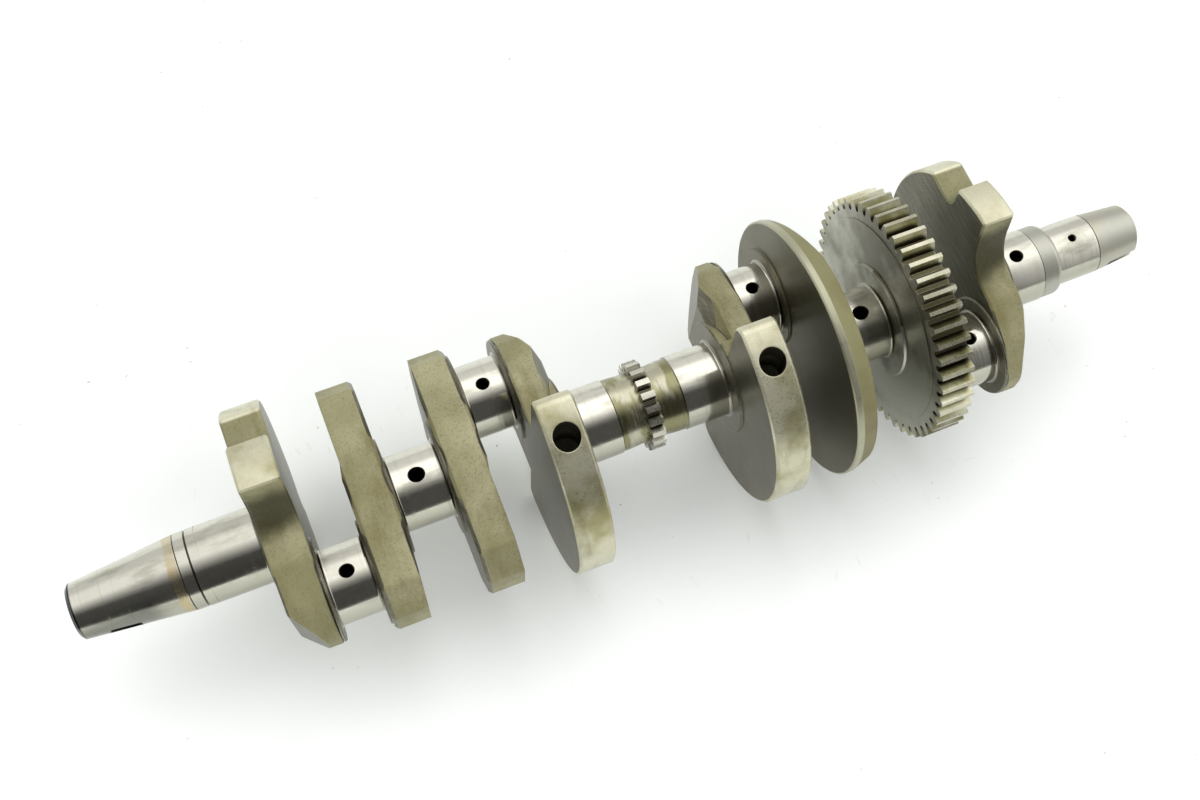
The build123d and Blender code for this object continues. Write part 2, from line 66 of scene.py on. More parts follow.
BOSS_R = 23.0 * MM
END_RIM_R = 49.9 * MM
CENTRE_RIM_R = 44.5 * MM
GEAR_TIP_R = 50.0 * MM
GEAR_TOOTH_DEPTH = 4.5 * MM
SPROCKET_TIP_R = 17.7 * MM
SPROCKET_TOOTH_DEPTH = 3.2 * MM
DISC_BAND = (64.8 * MM, 67.6 * MM)
STAIN = (-184.0 * MM, -180.5 * MM)
CHAMFER_X = -219.2 * MM

PIN_HOLES = [Hole(-OUTER_PIN_X, -THROW, OUTER_PIN_OIL_R), Hole(-INNER_PIN_X, THROW, INNER_PIN_OIL_R)]
PIN_HOLES += [Hole(INNER_PIN_X, THROW, INNER_PIN_OIL_R), Hole(OUTER_PIN_X, -THROW, OUTER_PIN_OIL_R)]
JOURNAL_HOLES = [Hole(side * MIDDLE_JOURNAL_X, 0.0, JOURNAL_OIL_R) for side in (-1, 1)]
JOURNAL_HOLES += [Hole(END_JOURNAL_HOLE_X, 0.0, END_JOURNAL_OIL_R)]
STUB_HOLES = [Hole(STUB_HOLE_X, 0.0, STUB_OIL_R)]
BALANCE_HOLES = [Hole(side * BALANCE_X, BALANCE_Y, BALANCE_R) for side in (-1, 1)]
END_HOLLOW = Hollow(6.0 * MM, 31.0 * MM, 10.0 * MM, 20.0 * MM)

# ---- colours ----
BRIGHT = (0.62, 0.605, 0.53, 1)
BRIGHT_WARM = (0.46, 0.44, 0.36, 1)
# Grey of the smear film, also used as painted shade on the side facing -Y.
FILM_AND_SHADE_GREY = (0.36, 0.35, 0.28, 1)
FILLET_DARK = (0.17, 0.16, 0.125, 1)
STAIN_BROWN = (0.52, 0.41, 0.21, 1)
CHAMFER_BLUE = (0.05, 0.055, 0.05, 1)
UNDERSIDE_SHADE_GREY = (0.15, 0.15, 0.135, 1)
HOLE_SHADE_COLOUR = (0.018, 0.017, 0.011, 1)

FORGED = (0.235, 0.220, 0.115, 1)
FORGED_PALE = (0.36, 0.34, 0.205, 1)
FORGED_DARK = (0.10, 0.09, 0.040, 1)
OLIVE = (0.20, 0.19, 0.088, 1)
SKIN_OIL = (0.15, 0.125, 0.045, 1)
HOLLOW_SHADE = (0.030, 0.026, 0.009, 1)
WORN_EDGE_AND_HIGHLIGHT = (0.66, 0.64, 0.53, 1)
RIM_STEEL = (0.56, 0.54, 0.40, 1)
RIM_DARK = (0.30, 0.275, 0.135, 1)
MACHINED = (0.105, 0.097, 0.064, 1)
MACHINED_PALE = (0.25, 0.24, 0.185, 1)
BAND_STEEL = (0.36, 0.35, 0.25, 1)

TOOTH = (0.33, 0.315, 0.17, 1)
TOOTH_PALE = (0.60, 0.585, 0.44, 1)
GAP_SHADE = (0.07, 0.062, 0.03, 1)
GEAR_FACE = (0.50, 0.50, 0.43, 1)
FACE_OIL = (0.21, 0.203, 0.16, 1)
DARK_STEEL = (0.085, 0.085, 0.07, 1)
CENTRE_OLIVE = (0.42, 0.40, 0.29, 1)
MATT_GREY = (0.42, 0.42, 0.37, 1)

FLOOR_WHITE = (0.90, 0.925, 0.91, 1)
FLOOR_SHADE = (0.865, 0.89, 0.875, 1)
FLOOR_MARK = (0.30, 0.28, 0.22, 1)

# The middle of a noise's range, where most of it lies.
NOISE_MIDDLE = (0.3, 0.7)
# Roughness of machined faces, from their smoothest to their roughest marks.
SATIN = (0.28, 0.42)


# ---- node helpers ----
class Nodes:
    """Short calls for building a node tree."""

    def __init__(self, tree):
        self.tree = tree

    def node(self, kind, **settings):
        made = self.tree.nodes.new(kind)
        for key, value in settings.items():
            setattr(made, key, value)
        return made

    def feed(self, socket, value):
        if isinstance(value, bpy.types.NodeSocket):
            self.tree.links.new(value, socket)
        else:
            socket.default_value = value

    def math(self, operation, *values):
        made = self.node("ShaderNodeMath", operation=operation)
        for socket, value in zip(made.inputs, values):
            self.feed(socket, value)
        return made.outputs[0]

    def plus(self, first, second):
        return self.math("ADD", first, second)

    def minus(self, first, second):
        return self.math("SUBTRACT", first, second)

    def times(self, first, second):
        return self.math("MULTIPLY", first, second)

    def length(self, across, up):
        """Length of the line that goes across and up."""
        return self.math("SQRT", self.plus(self.times(across, across), self.times(up, up)))

    def split(self, vector):
        made = self.node("ShaderNodeSeparateXYZ")
        self.feed(made.inputs[0], vector)
        return made.outputs

    def join(self, x, y, z):
        made = self.node("ShaderNodeCombineXYZ")
        for socket, value in zip(made.inputs, (x, y, z)):
            self.feed(socket, value)
        return made.outputs[0]

    def ramp(self, value, low, high, start=0.0, end=1.0):
        """A smooth change from start at low to end at high."""
        made = self.node("ShaderNodeMapRange", interpolation_type="SMOOTHSTEP")
        for socket, number in zip(made.inputs, (value, low, high, start, end)):
            self.feed(socket, number)
        return made.outputs[0]

    def rise(self, value, patch):
        """0 below the patch, its strength above it."""
        return self.ramp(value, patch.low, patch.high, 0.0, patch.strength)

    def fall(self, value, patch):
        """The patch's strength below it, 0 above it."""
        return self.ramp(value, patch.low, patch.high, patch.strength, 0.0)

    def mix(self, factor, first, second):
        made = self.node("ShaderNodeMix", data_type="RGBA")
        self.feed(made.inputs["Factor"], factor)
        self.feed(made.inputs["A"], first)
        self.feed(made.inputs["B"], second)
        return made.outputs["Result"]


SQUARE_TO_SHAFT = Patch(0.975, 0.995)
BOSS_FADE = 0.5 * MM
BOSS_LEAN = Patch(0.1, 0.3)
# How well the rounded normal agrees with the true one: full wear and painted highlight at the first, none
# at the second.
SHARP_EDGE = Patch(0.80, 0.985)
EDGE_SAMPLES = 6
HOLE_FADE = 0.1 * MM
HOLE_MOUTH = Patch(-2.0 * MM, -1.0 * MM)


class Graph(Nodes):
    """The nodes of one material."""

    def __init__(self, name):
        self.material = bpy.data.materials.new(name)
        self.material.use_nodes = True
        super().__init__(self.material.node_tree)
        self.shader = self.tree.nodes["Principled BSDF"]
        self.place = self.node("ShaderNodeTexCoord").outputs["Object"]

    def texture(self, vector, scale, detail, roughness):
        made = self.node("ShaderNodeTexNoise")
        self.feed(made.inputs["Vector"], vector)
        made.inputs["Scale"].default_value = scale
        made.inputs["Detail"].default_value = detail
        made.inputs["Roughness"].default_value = roughness
        return made.outputs["Fac"]

    def noise(self, grain):
        return self.texture(self.place, grain.scale, grain.detail, grain.roughness)

    def rings(self, pattern):
        """Noise drawn out round the shaft or along it."""
        x, y, z = self.split(self.place)
        along = self.times(x, pattern.along)
        across = self.times(y, pattern.around)
        up = self.times(z, pattern.around)
        return self.texture(self.join(along, across, up), 1.0, pattern.detail, pattern.roughness)

    def turning_marks(self, grain):
        """Fine circles about the shaft on faces square to it."""
        outward = self.join(self.times(self.radius(), grain.scale), 0.0, 0.0)
        return self.texture(outward, 1.0, grain.detail, grain.roughness)

    def tint(self, colour, pattern, patch, over):
        """Lay the colour called over on top, where the pattern rises through the patch."""
        return self.mix(self.rise(pattern, patch), colour, over)

    def spread(self, pattern, low, high):
        """Turn a noise pattern into values from low to high."""
        return self.ramp(pattern, *NOISE_MIDDLE, low, high)

    def band(self, value, low, high, soft):
        """1 between low and high, 0 outside, with soft edges."""
        begins = self.ramp(value, low - soft, low + soft)
        ends = self.ramp(value, high - soft, high + soft, 1.0, 0.0)
        return self.times(begins, ends)

    def radius(self, about_y=0.0):
        """Distance from the line along X at about_y."""
        x, y, z = self.split(self.place)
        return self.length(self.minus(y, about_y), z)

    def normal(self):
        return self.node("ShaderNodeNewGeometry").outputs["Normal"]

    def leaning(self):
        """How far a face leans along the shaft: 0 on plain cylinders, 1 on faces square to it."""
        return self.math("ABSOLUTE", self.split(self.normal())[0])

    def facing_x(self, bosses=1.0):
        """1 on faces square to the shaft and, where bosses is 1, on the low bosses that stand on them."""
        lean = self.leaning()
        near = self.math("MINIMUM", self.radius(THROW), self.radius(-THROW))
        near = self.math("MINIMUM", near, self.radius())
        on_boss = self.ramp(near, BOSS_R, BOSS_R + BOSS_FADE, 1.0, 0.0)
        on_boss = self.times(on_boss, self.rise(lean, BOSS_LEAN))
        return self.math("MAXIMUM", self.times(on_boss, bosses), self.rise(lean, SQUARE_TO_SHAFT))

    def soft_edges(self, radius):
        """Normals that round off small edges."""
        made = self.node("ShaderNodeBevel", samples=EDGE_SAMPLES)
        made.inputs["Radius"].default_value = radius
        return made.outputs["Normal"]

    def edge_wear_and_highlight(self, radius):
        """1 along sharp edges, 0 on open surfaces."""
        agree = self.node("ShaderNodeVectorMath", operation="DOT_PRODUCT")
        self.feed(agree.inputs[0], self.soft_edges(radius))
        self.feed(agree.inputs[1], self.normal())
        return self.fall(agree.outputs["Value"], SHARP_EDGE)

    def in_holes(self, holes):
        """1 inside the given drillings, 0 elsewhere."""
        x, y, z = self.split(self.place)
        found = 0.0
        for hole in holes:
            away = self.length(self.minus(x, hole.x), self.minus(y, hole.y))
            inside = self.ramp(away, hole.radius, hole.radius + HOLE_FADE, 1.0, 0.0)
            found = self.math("MAXIMUM", found, inside)
        return self.times(found, self.rise(z, HOLE_MOUTH))

    def bump(self, height, relief, normal=None):
        made = self.node("ShaderNodeBump")
        made.inputs["Strength"].default_value = relief.strength
        made.inputs["Distance"].default_value = relief.depth
        self.feed(made.inputs["Height"], height)
        if normal is not None:
            self.feed(made.inputs["Normal"], normal)
        return made.outputs["Normal"]

    def finish(self, colour, roughness, normal, metallic=1.0):
        self.feed(self.shader.inputs["Base Color"], colour)
        self.feed(self.shader.inputs["Roughness"], roughness)
        self.feed(self.shader.inputs["Normal"], normal)
        self.feed(self.shader.inputs["Metallic"], metallic)
        return self.material


# ---- ground steel: journals, pins, stub and taper ----
GRINDING = Rings(12.0, 2600.0, 2.0)
WEAR_BANDS = Rings(6.0, 420.0, 2.0)
GROUND_CLOUD = Grain(70.0, 4.0)
GROUND_SMEAR = Rings(150.0, 45.0, 4.0, 0.6)

WARM_FILM = Patch(0.42, 0.72)
SMEAR_FILM = Patch(0.50, 0.70, 0.65)
FILLET_SHADE = Patch(0.14, 0.5, 0.85)
BAND_WEAR = Patch(0.5, 0.75, 0.3)
LOW_SIDE_SHADE = Patch(-0.97, -0.70, 0.75)

SMOOTHER_RINGS = 0.03
ROUGHER_RINGS = 0.04
BAND_ROUGHNESS = Patch(0.45, 0.7, 0.06)
SMEAR_ROUGHNESS = Patch(0.5, 0.75, 0.12)
INSIDE_ROUGHNESS = 0.6
GROUND_RELIEF = Relief(0.002 * MM, 0.5)

STAIN_WANDER = 0.4 * MM
STAIN_FADE = 0.5 * MM
STAIN_THIN = 0.35
STAIN_THICK = 0.8
STAIN_CLOUD = (0.25, 0.65)
STAIN_ROUGHNESS = 0.12
CHAMFER_FADE = 0.5 * MM
CONE_LEAN = Patch(0.9, 0.97)
UNDERSIDE_DEPTH = Patch(-11.0 * MM, -7.0 * MM, 0.8)
UNDERSIDE_LENGTH = Patch(-186.0 * MM, -196.0 * MM)


def taper_marks(g, colour, rough, cloud):
    """The taper's brown ring, blued end chamfer and painted shade on its underside."""
    x, y, z = g.split(g.place)
    edge = g.plus(x, g.spread(cloud, -STAIN_WANDER, STAIN_WANDER))
    uneven = g.ramp(cloud, *STAIN_CLOUD, STAIN_THIN, STAIN_THICK)
    brown = g.times(g.band(edge, *STAIN, STAIN_FADE), uneven)
    colour = g.mix(brown, colour, STAIN_BROWN)
    rough = g.plus(rough, g.times(brown, STAIN_ROUGHNESS))
    at_end = g.ramp(x, CHAMFER_X, CHAMFER_X + CHAMFER_FADE, 1.0, 0.0)
    colour = g.mix(g.times(at_end, g.fall(g.leaning(), CONE_LEAN)), colour, CHAMFER_BLUE)
    # Painted shade: the taper's -Y side, towards its free end, is darkened.
    low = g.times(g.fall(y, UNDERSIDE_DEPTH), g.rise(x, UNDERSIDE_LENGTH))
    return g.mix(low, colour, UNDERSIDE_SHADE_GREY), rough


def ground_steel(name, holes, wear=0.35, roughness=0.12, tapered=False):
    """Fine rings, worn bands, a warm film, and painted shade in the fillets, on the side facing -Y and
    inside the drillings.
    """
    g = Graph(name)
    rings = g.rings(GRINDING)
    bands = g.rings(WEAR_BANDS)
    cloud = g.noise(GROUND_CLOUD)
    smear = g.rings(GROUND_SMEAR)
    colour = g.mix(g.times(g.rise(cloud, WARM_FILM), wear), BRIGHT, BRIGHT_WARM)
    colour = g.tint(colour, smear, SMEAR_FILM, FILM_AND_SHADE_GREY)
    # Painted shade: faces that lean along the shaft, such as the fillets, are darkened.
    colour = g.tint(colour, g.leaning(), FILLET_SHADE, FILLET_DARK)
    colour = g.tint(colour, bands, BAND_WEAR, BRIGHT_WARM)
    # Painted shade: where the normal faces -Y, the colour is darkened towards grey.
    colour = g.mix(g.fall(g.split(g.normal())[1], LOW_SIDE_SHADE), colour, FILM_AND_SHADE_GREY)
    rough = g.spread(rings, roughness - SMOOTHER_RINGS, roughness + ROUGHER_RINGS)
    rough = g.plus(rough, g.rise(bands, BAND_ROUGHNESS))
    rough = g.plus(rough, g.rise(smear, SMEAR_ROUGHNESS))
    if tapered:
        colour, rough = taper_marks(g, colour, rough, cloud)
    inside = g.in_holes(holes)
    # Painted shade inside the drillings.
    colour = g.mix(inside, colour, HOLE_SHADE_COLOUR)
    rough = g.plus(rough, g.times(inside, INSIDE_ROUGHNESS))
    return g.finish(colour, rough, g.bump(rings, GROUND_RELIEF))


# ---- machined cheeks ----
CHEEK_WARP = Grain(30.0, 2.0)
CHEEK_STREAK = Grain(1.0, 4.0, 0.6)
STREAKS_UP = 900.0
STREAKS_ACROSS = 70.0
STREAK_WARP = 14.0
CHEEK_TURNING = Grain(2300.0)
CHEEK_SMEAR = Grain(55.0, 5.0)
STREAK_SHARE = 0.6
TURNING_SHARE = 0.4
PALE_MARKS = Patch(0.40, 0.68)
DARK_SMEAR = Patch(0.42, 0.68, 0.7)


def cheek(g):
    """Colour, roughness and height of the machined faces square to the shaft."""
    x, y, z = g.split(g.place)
    up = g.plus(g.times(z, STREAKS_UP), g.times(g.noise(CHEEK_WARP), STREAK_WARP))
    streak = g.texture(g.join(0.0, g.times(y, STREAKS_ACROSS), up), *CHEEK_STREAK)
    turning = g.turning_marks(CHEEK_TURNING)
    marks = g.plus(g.times(streak, STREAK_SHARE), g.times(turning, TURNING_SHARE))
    colour = g.mix(g.rise(marks, PALE_MARKS), MACHINED, MACHINED_PALE)
    colour = g.tint(colour, g.noise(CHEEK_SMEAR), DARK_SMEAR, MACHINED)
    return colour, g.spread(marks, *SATIN), marks


# ---- forged steel: the webs ----
SKIN_METALLIC = 0.25
FACE_METALLIC = 0.8
SAND = Grain(1250.0, 3.0, 0.6)
LUMPS = Grain(260.0)
SKIN_CLOUD = Grain(42.0, 4.0)
SKIN_STAINS = Rings(28.0, 90.0, 4.0, 0.6)
SKIN_AREAS = Grain(16.0, 2.0)

PALE_SKIN = Patch(0.35, 0.7)
DARK_PITS = Patch(0.62, 0.80, 0.35)
DARK_SAND = Patch(0.52, 0.72, 0.5)
OILY_SKIN = Patch(0.48, 0.72, 0.75)
OLIVE_AREAS = Patch(0.42, 0.60, 0.45)
HOLLOW_WANDER = 3.0 * MM
HOLLOW_STRENGTH = 0.85
DARK_RIM = Patch(0.46, 0.72)
OILY_RIM = Patch(0.50, 0.74, 0.6)
INSIDE_SHADE = 0.85

WEIGHT_BEGINS = Patch(-1.5 * MM, 0.5 * MM)
RIM_FADE = 0.7 * MM
EDGE_WEAR_AND_HIGHLIGHT_WIDTH = 0.5 * MM
EDGE_WEAR_AND_HIGHLIGHT_BREAKS = (0.38, 0.62)
EDGE_WEAR_AND_HIGHLIGHT_CLEAN = 0.75
EDGE_WEAR_AND_HIGHLIGHT_STAINED = 0.1
SKIN_ROUGHNESS = (0.50, 0.66)
RIM_POLISH = 0.24
SAND_LOST = 0.9
MARKS_HEIGHT = 0.45
FORGED_EDGE = 0.7 * MM
FORGED_RELIEF = Relief(0.17 * MM, 0.75)


def shade_in_hollow(g, skin, cloud, hollow):
    """Painted shade darkening the hollow on both sides of an end web."""
    x, y, z = g.split(g.place)
    away = g.length(g.minus(y, hollow.y), g.minus(g.math("ABSOLUTE", z), hollow.z))
    away = g.plus(away, g.spread(cloud, -HOLLOW_WANDER, HOLLOW_WANDER))
    return g.mix(g.ramp(away, hollow.full, hollow.end, HOLLOW_STRENGTH, 0.0), skin, HOLLOW_SHADE)


def counterweight_rim(g, flat, weight_side, rim_r):
    """1 on the machined rim of a counterweight that lies on the given side in Y."""
    y = g.split(g.place)[1]
    on_weight = g.rise(g.times(y, weight_side), WEIGHT_BEGINS)
    not_flat = g.minus(1.0, flat)
    return g.times(g.times(not_flat, on_weight), g.ramp(g.radius(), rim_r - RIM_FADE, rim_r))


def forged_steel(name, weight_side=0, rim_r=0.0, hollow=None, holes=()):
    """Forged sides with a sandy skin; faces square to the shaft and counterweight rims are machined."""
    g = Graph(name)
    sand = g.noise(SAND)
    cloud = g.noise(SKIN_CLOUD)
    stains = g.rings(SKIN_STAINS)
    skin = g.mix(g.rise(cloud, PALE_SKIN), FORGED, FORGED_PALE)
    skin = g.tint(skin, g.noise(LUMPS), DARK_PITS, FORGED_DARK)
    skin = g.tint(skin, sand, DARK_SAND, FORGED_DARK)
    skin = g.tint(skin, stains, OILY_SKIN, SKIN_OIL)
    skin = g.tint(skin, g.noise(SKIN_AREAS), OLIVE_AREAS, OLIVE)
    if hollow is not None:
        # Painted shade in the hollows of the end webs.
        skin = shade_in_hollow(g, skin, cloud, hollow)
    face, rough_face, marks = cheek(g)
    flat = g.facing_x()
    rim = counterweight_rim(g, flat, weight_side, rim_r) if weight_side else 0.0
    rim_tone = g.mix(g.rise(cloud, DARK_RIM), RIM_STEEL, RIM_DARK)
    colour = g.mix(rim, skin, g.tint(rim_tone, stains, OILY_RIM, SKIN_OIL))
    colour = g.mix(flat, colour, face)
    clean = g.ramp(stains, *EDGE_WEAR_AND_HIGHLIGHT_BREAKS, EDGE_WEAR_AND_HIGHLIGHT_CLEAN, EDGE_WEAR_AND_HIGHLIGHT_STAINED)
    # Sharp edges are lightened: partly worn metal, partly painted highlight.
    colour = g.mix(g.times(g.edge_wear_and_highlight(EDGE_WEAR_AND_HIGHLIGHT_WIDTH), clean), colour, WORN_EDGE_AND_HIGHLIGHT)
    # Painted shade inside the balance holes.
    colour = g.mix(g.times(g.in_holes(holes), INSIDE_SHADE), colour, HOLE_SHADE_COLOUR)
    rough_skin = g.times(g.spread(sand, *SKIN_ROUGHNESS), g.minus(1.0, flat))
    rough = g.plus(rough_skin, g.times(rough_face, flat))
    rough = g.minus(rough, g.times(rim, RIM_POLISH))
    smooth = g.plus(rim, flat)
    sandy = g.times(sand, g.minus(1.0, g.times(smooth, SAND_LOST)))
    height = g.plus(sandy, g.times(g.times(marks, flat), MARKS_HEIGHT))
    metallic = g.ramp(smooth, 0.0, 1.0, SKIN_METALLIC, FACE_METALLIC)
    return g.finish(colour, rough, g.bump(height, FORGED_RELIEF, g.soft_edges(FORGED_EDGE)), metallic)


# ---- disc steel: the round web ----
DISC_CLOUD = Grain(38.0, 5.0)
DISC_SAND = Grain(1300.0)
OILY_SLOPE = Patch(0.38, 0.68)
DISC_FACE_SHADE = 0.45
BAND_FADE = 0.2 * MM
BAND_RADIUS = Patch(51.2 * MM, 51.8 * MM)
SLOPE_ROUGHNESS = 0.16
BAND_POLISH = 0.2
DISC_MARKS_HEIGHT = 0.4
DISC_EDGE = 0.6 * MM
DISC_RELIEF = Relief(0.08 * MM, 0.5)


def disc_steel(name):
    """Bright ground band at the rim, forged slope, dark machined face."""
    g = Graph(name)
    x = g.split(g.place)[0]
    face, rough_face, marks = cheek(g)
    skin = g.mix(g.rise(g.noise(DISC_CLOUD), OILY_SLOPE), OLIVE, SKIN_OIL)
    flat = g.facing_x(g.ramp(x, *DISC_BAND, 1.0, 0.0))
    not_flat = g.minus(1.0, flat)
    colour = g.mix(flat, skin, g.mix(DISC_FACE_SHADE, face, FORGED_DARK))
    rim = g.times(g.band(x, *DISC_BAND, BAND_FADE), g.rise(g.radius(), BAND_RADIUS))
    colour = g.mix(rim, colour, BAND_STEEL)
    rough = g.plus(rough_face, g.times(not_flat, SLOPE_ROUGHNESS))
    rough = g.minus(rough, g.times(rim, BAND_POLISH))
    height = g.plus(g.times(marks, DISC_MARKS_HEIGHT), g.times(g.noise(DISC_SAND), not_flat))
    metallic = g.ramp(g.math("MAXIMUM", flat, rim), 0.0, 1.0, SKIN_METALLIC, FACE_METALLIC)
    return g.finish(colour, rough, g.bump(height, DISC_RELIEF, g.soft_edges(DISC_EDGE)), metallic)


# ---- toothed steel: gear and sprocket ----
FLANK_CLOUD = Grain(90.0, 4.0)
TOOTH_GRAIN = Grain(1700.0)
FACE_TURNING = Grain(2200.0)
FACE_SMEAR = Grain(34.0, 4.0)
PALE_FLANKS = Patch(0.38, 0.68)
DARK_FACE = Patch(0.44, 0.66)
DARK_TURNING = Patch(0.40, 0.75, 0.35)
# Shares of the tooth's depth, down from the crest: full painted shade below the first, none above the
# second.
GAP_SHADE_FULL = 0.85
GAP_SHADE_ENDS = 0.35
GAP_SHADE_STRENGTH = 0.95
SHINE_BEGINS = 0.6 * MM
SHINE_FULL = 0.1 * MM
SHINE_STRENGTH = 0.55
SHINE_POLISH = 0.06
TOOTH_WEAR_AND_HIGHLIGHT_WIDTH = 0.35 * MM
TOOTH_WEAR_AND_HIGHLIGHT = 0.7
TOOTH_RELIEF = Relief(0.04 * MM, 0.5)


def toothed_steel(name, crest, depth, flank_tones, face_tones):
    """Crests lightened by wear and painted highlight, flanks darkened towards the root with painted
    shade, matt turned faces. Tones are (main colour, colour of the patches).
    """
    g = Graph(name)
    r = g.radius()
    flanks = g.mix(g.rise(g.noise(FLANK_CLOUD), PALE_FLANKS), *flank_tones)
    oil_and_shade = (crest - GAP_SHADE_FULL * depth, crest - GAP_SHADE_ENDS * depth, GAP_SHADE_STRENGTH, 0.0)
    # Painted shade in the gaps between the teeth, darker towards the root.
    flanks = g.mix(g.ramp(r, *oil_and_shade), flanks, GAP_SHADE)
    flat = g.facing_x()
    face = g.mix(g.rise(g.noise(FACE_SMEAR), DARK_FACE), *face_tones)
    face = g.tint(face, g.turning_marks(FACE_TURNING), DARK_TURNING, face_tones[1])
    colour = g.mix(flat, flanks, face)
    # Crests lightened: partly worn metal, partly painted highlight.
    shine = g.times(g.ramp(r, crest - SHINE_BEGINS, crest - SHINE_FULL), g.minus(1.0, flat))
    colour = g.mix(g.times(shine, SHINE_STRENGTH), colour, BRIGHT_WARM)
    # Sharp tooth edges are lightened: partly worn metal, partly painted highlight.
    colour = g.mix(g.times(g.edge_wear_and_highlight(TOOTH_WEAR_AND_HIGHLIGHT_WIDTH), TOOTH_WEAR_AND_HIGHLIGHT), colour, BRIGHT)
    grain = g.noise(TOOTH_GRAIN)
    rough = g.minus(g.spread(grain, *SATIN), g.times(shine, SHINE_POLISH))
    return g.finish(colour, rough, g.bump(grain, TOOTH_RELIEF))


# ---- turned steel: chain shafts, collar and tail ----
TURNING_RINGS = Rings(10.0, 1900.0)
TURNED_CLOUD = Grain(85.0, 4.0)
OIL_RINGS = Rings(60.0, 160.0)
PALE_CLOUD = Patch(0.38, 0.66)
PALE_RINGS = Patch(0.45, 0.75, 0.2)
OIL_SPAN = (0.40, 0.54)
SMOOTHER_TURNING = 0.06
ROUGHER_TURNING = 0.07
TURNED_RELIEF = Relief(0.006 * MM, 0.5)


def turned_steel(name, base, pale, roughness, oil_and_shade=0.0):
    """Turned or bead-blasted plain surfaces."""
    g = Graph(name)
    rings = g.rings(TURNING_RINGS)
    colour = g.mix(g.rise(g.noise(TURNED_CLOUD), PALE_CLOUD), base, pale)
    colour = g.tint(colour, rings, PALE_RINGS, pale)
    colour = g.tint(colour, g.rings(OIL_RINGS), Patch(*OIL_SPAN, oil_and_shade), OLIVE)
    rough = g.spread(rings, roughness - SMOOTHER_TURNING, roughness + ROUGHER_TURNING)
    return g.finish(colour, rough, g.bump(rings, TURNED_RELIEF))


# ---- materials onto the CAD nodes ----
def dress(names, material):
    """Give CAD nodes one material."""
    for name in names:
        mesh = CAD_NODES[name].data
        mesh.materials.clear()
        mesh.materials.append(material)


JOURNALS = ["main_journal_%d" % number for number in range(1, 7)]
PINS = ["crankpin_%d" % number for number in range(1, 5)]
dress(JOURNALS, ground_steel("journal_steel", JOURNAL_HOLES))
dress(PINS, ground_steel("pin_steel", PIN_HOLES))
dress(["starter_stub", "taper_land"], ground_steel("stub_steel", STUB_HOLES, roughness=0.14))
dress(["rotor_taper"], ground_steel("taper_steel", [], wear=0.2, roughness=0.16, tapered=True))

end_web = forged_steel("end_web_steel", weight_side=1, rim_r=END_RIM_R, hollow=END_HOLLOW)
centre_web = forged_steel("centre_web_steel", weight_side=-1, rim_r=CENTRE_RIM_R, holes=BALANCE_HOLES)
dress(["web_1", "web_8"], end_web)
dress(["web_2", "web_3"], forged_steel("slab_steel"))
dress(["web_4", "web_5"], centre_web)
dress(["web_6"], disc_steel("disc_steel"))

gear_tones = ((TOOTH, TOOTH_PALE), (GEAR_FACE, FACE_OIL))
sprocket_tones = ((BRIGHT, BRIGHT), (BRIGHT_WARM, DARK_STEEL))
dress(["primary_drive_gear"], toothed_steel("gear_steel", GEAR_TIP_R, GEAR_TOOTH_DEPTH, *gear_tones))
sprocket_steel = toothed_steel("sprocket_steel", SPROCKET_TIP_R, SPROCKET_TOOTH_DEPTH, *sprocket_tones)
dress(["timing_sprocket"], sprocket_steel)

chain_steel = turned_steel("centre_steel", CENTRE_OLIVE, BRIGHT_WARM, 0.24, oil_and_shade=0.85)
dress(["chain_shaft_left", "chain_shaft_right"], chain_steel)
dress(["end_collar", "tail"], turned_steel("end_steel", MATT_GREY, BRIGHT_WARM, 0.38))


# ---- floor ----
FLOOR_SIZE = 6.0
FLOOR_GAP = 0.05 * MM
FLOOR_CLOUD = Grain(9.0)
SPECKS = Grain(330.0, 1.0)
SPECK_AREAS = Grain(14.0, 2.0)
SPECK_SHOWS = Patch(0.75, 0.79, 0.7)
SPECK_AREA_SHOWS = Patch(0.50, 0.62)
SCRATCH_BEND = Grain(11.0, 2.0)
SCRATCH_BEND_SIZE = 0.09
SCRATCHES = Grain(1.0, 1.0)
SCRATCHES_ACROSS = 420.0
SCRATCHES_ALONG = 70.0
SCRATCH_SPAN = (0.735, 0.76)
SCRATCH_FADE = 0.008
SCRATCH_AREAS = Grain(7.0, 2.0)
SCRATCH_AREA_SHOWS = Patch(0.46, 0.60, 0.14)
FLOOR_ROUGHNESS = 0.55
FLOOR_RELIEF = Relief(0.2 * MM, 0.2)


def floor_material():
    """Pale painted floor with a few faint specks and fine scratches."""
    g = Graph("floor_paint")
    x, y, z = g.split(g.place)
    cloud = g.noise(FLOOR_CLOUD)
    colour = g.mix(g.spread(cloud, 0.0, 1.0), FLOOR_WHITE, FLOOR_SHADE)
    specks = g.times(g.rise(g.noise(SPECKS), SPECK_SHOWS), g.rise(g.noise(SPECK_AREAS), SPECK_AREA_SHOWS))
    bent = g.plus(x, g.times(g.noise(SCRATCH_BEND), SCRATCH_BEND_SIZE))
    lines = g.join(g.times(bent, SCRATCHES_ACROSS), g.times(y, SCRATCHES_ALONG), 0.0)
    scratches = g.band(g.texture(lines, *SCRATCHES), *SCRATCH_SPAN, SCRATCH_FADE)
    scratches = g.times(scratches, g.rise(g.noise(SCRATCH_AREAS), SCRATCH_AREA_SHOWS))
    colour = g.mix(g.plus(specks, scratches), colour, FLOOR_MARK)
    return g.finish(colour, FLOOR_ROUGHNESS, g.bump(cloud, FLOOR_RELIEF), metallic=0.0)


bpy.ops.mesh.primitive_plane_add(size=FLOOR_SIZE, location=(0, 0, CAD_BOX[0][2] - FLOOR_GAP))
floor = bpy.context.object
floor.name = "floor"
floor.data.materials.append(floor_material())

